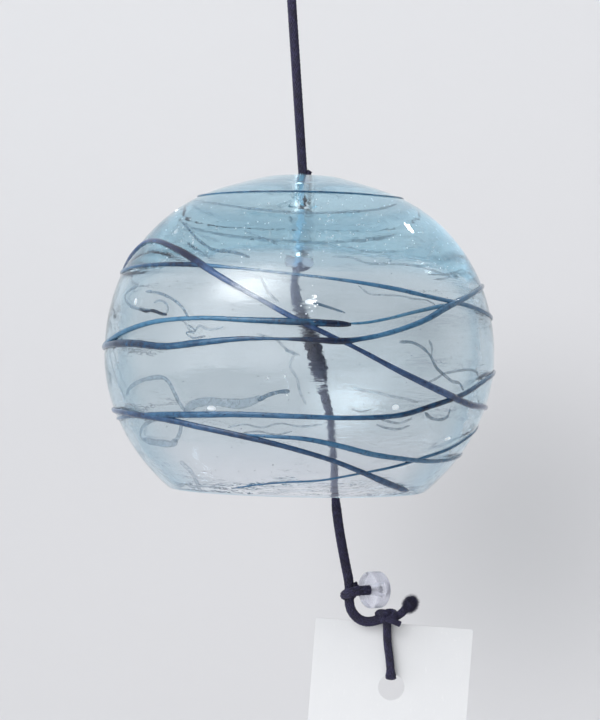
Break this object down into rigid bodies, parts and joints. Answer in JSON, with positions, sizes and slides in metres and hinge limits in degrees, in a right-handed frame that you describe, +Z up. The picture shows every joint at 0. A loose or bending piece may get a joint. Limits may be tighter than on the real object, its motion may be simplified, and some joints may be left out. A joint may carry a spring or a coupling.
{
  "type": "wind bell",
  "caption": "Blown pale blue glass wind bell with dark glass threads, hung by a knotted navy cord, with a clear clapper bead and a hanging paper card",
  "frame": {"origin": "inside top of the hanging loop, where a hook carries the bell", "axes": "+Z up, along the bell's own axis; +X to the right in the picture; -Y towards the camera"},
  "size_m": [0.0891, 0.0886, 0.3249],
  "materials": {
    "pale_glass": "blown clear glass, pale blue, fire polished, fine ripples and bubbles",
    "blue_glass": "dark blue glass thread melted on to the bell",
    "navy_cord": "fine round braid, matt",
    "clear_bead": "clear moulded acrylic",
    "white_paper": "plain uncoated white card"
  },
  "bodies": {
    "hanger": {"hanging_loop": "navy_cord"},
    "loop_knot": {"hanging_knot": "navy_cord"},
    "top_cord": {"upper_cord": "navy_cord"},
    "crown": {"crown_cord": "navy_cord", "crown_tail": "navy_cord", "stopper_bead": "clear_bead", "stopper_knot": "navy_cord"},
    "bell": {"bell_glass": "pale_glass", "crown_thread": "blue_glass", "diagonal_thread": "blue_glass", "upper_thread": "blue_glass", "middle_thread": "blue_glass", "branch_thread": "blue_glass", "wavy_thread": "blue_glass", "lower_thread": "blue_glass", "falling_thread": "blue_glass", "low_thread": "blue_glass", "rim_thread": "blue_glass"},
    "inner_line": {"inner_cord": "navy_cord", "inner_knot": "navy_cord"},
    "clapper_line": {"clapper_cord": "navy_cord"},
    "clapper": {"clapper_bead": "clear_bead", "bead_hitch": "navy_cord", "lower_cord": "navy_cord", "card_knot": "navy_cord", "knot_tail": "navy_cord"},
    "card_hanger": {"card_loop": "navy_cord"},
    "card": {"paper_card": "white_paper"}
  },
  "joints": [
    {"name": "cord_sway", "type": "hinge", "parent": "hanger", "child": "loop_knot", "pos_m": [0.00227, 0, -0.0262], "axis": [1, 0, 0], "range_deg": [-30, 30]},
    {"name": "cord_swing", "type": "hinge", "parent": "loop_knot", "child": "top_cord", "pos_m": [0.00227, 0, -0.0262], "axis": [0, 1, 0], "range_deg": [-35, 35]},
    {"name": "bell_rock", "type": "hinge", "parent": "top_cord", "child": "crown", "pos_m": [0.0061, 0, -0.0705], "axis": [1, 0, 0], "range_deg": [-12, 12]},
    {"name": "bell_spin", "type": "hinge", "parent": "crown", "child": "bell", "pos_m": [0.0061, 0, -0.0705], "axis": [0, 0, 1], "continuous": true},
    {"name": "clapper_swing", "type": "hinge", "parent": "crown", "child": "inner_line", "pos_m": [0.0061, 0, -0.0877], "axis": [0, 1, 0], "range_deg": [-10, 26]},
    {"name": "clapper_bend", "type": "hinge", "parent": "inner_line", "child": "clapper_line", "pos_m": [0.01139, 0, -0.11796], "axis": [1, 0, 0], "range_deg": [-22, 22]},
    {"name": "bead_twist", "type": "hinge", "parent": "clapper_line", "child": "clapper", "pos_m": [0.0176, 0, -0.1613], "axis": [0.1644, 0, -0.9864], "range_deg": [-90, 90], "stiffness_Nm_per_rad": 0.0002},
    {"name": "card_swing", "type": "hinge", "parent": "clapper", "child": "card_hanger", "pos_m": [0.02725, 0, -0.1704], "axis": [1, 0, 0], "range_deg": [-12, 35]},
    {"name": "card_tilt", "type": "hinge", "parent": "card_hanger", "child": "card", "pos_m": [0.02845, 0.0019, -0.185], "axis": [0, 1, 0], "range_deg": [-8, 4]}
  ]
}
